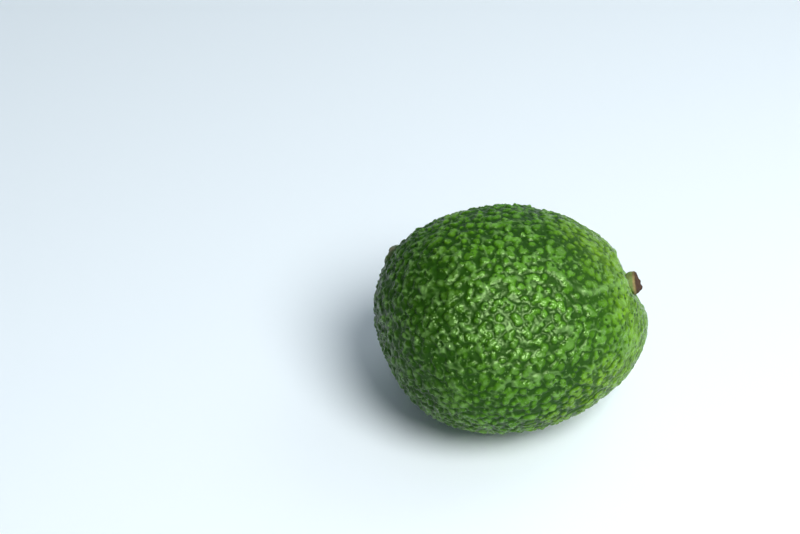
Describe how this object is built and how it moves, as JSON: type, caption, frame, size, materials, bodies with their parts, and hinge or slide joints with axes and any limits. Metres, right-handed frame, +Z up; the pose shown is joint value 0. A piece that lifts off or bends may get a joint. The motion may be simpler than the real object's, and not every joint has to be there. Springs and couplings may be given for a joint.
{
  "type": "avocado",
  "caption": "Whole green avocado with pebbled skin and a short woody stem button, lying on its side on a small flat spot.",
  "frame": {"origin": "centre of the small flat spot that the fruit rests on, about a millimetre from straight below its centre of mass", "axes": "+X runs from the blossom end to the stem end, +Y across the fruit to its left side, +Z up; the neck dips by about 4 degrees as it lies"},
  "size_m": [0.0848, 0.0721, 0.0679],
  "materials": {
    "skin": "waxy, leathery green skin, pebbled, with darker valleys and small pale pores, semi-gloss",
    "stem": "dry, matt brown stem wood, paler and rough where it was picked"
  },
  "bodies": {
    "root": {"fruit": "skin", "stem_button": "stem"}
  },
  "joints": []
}
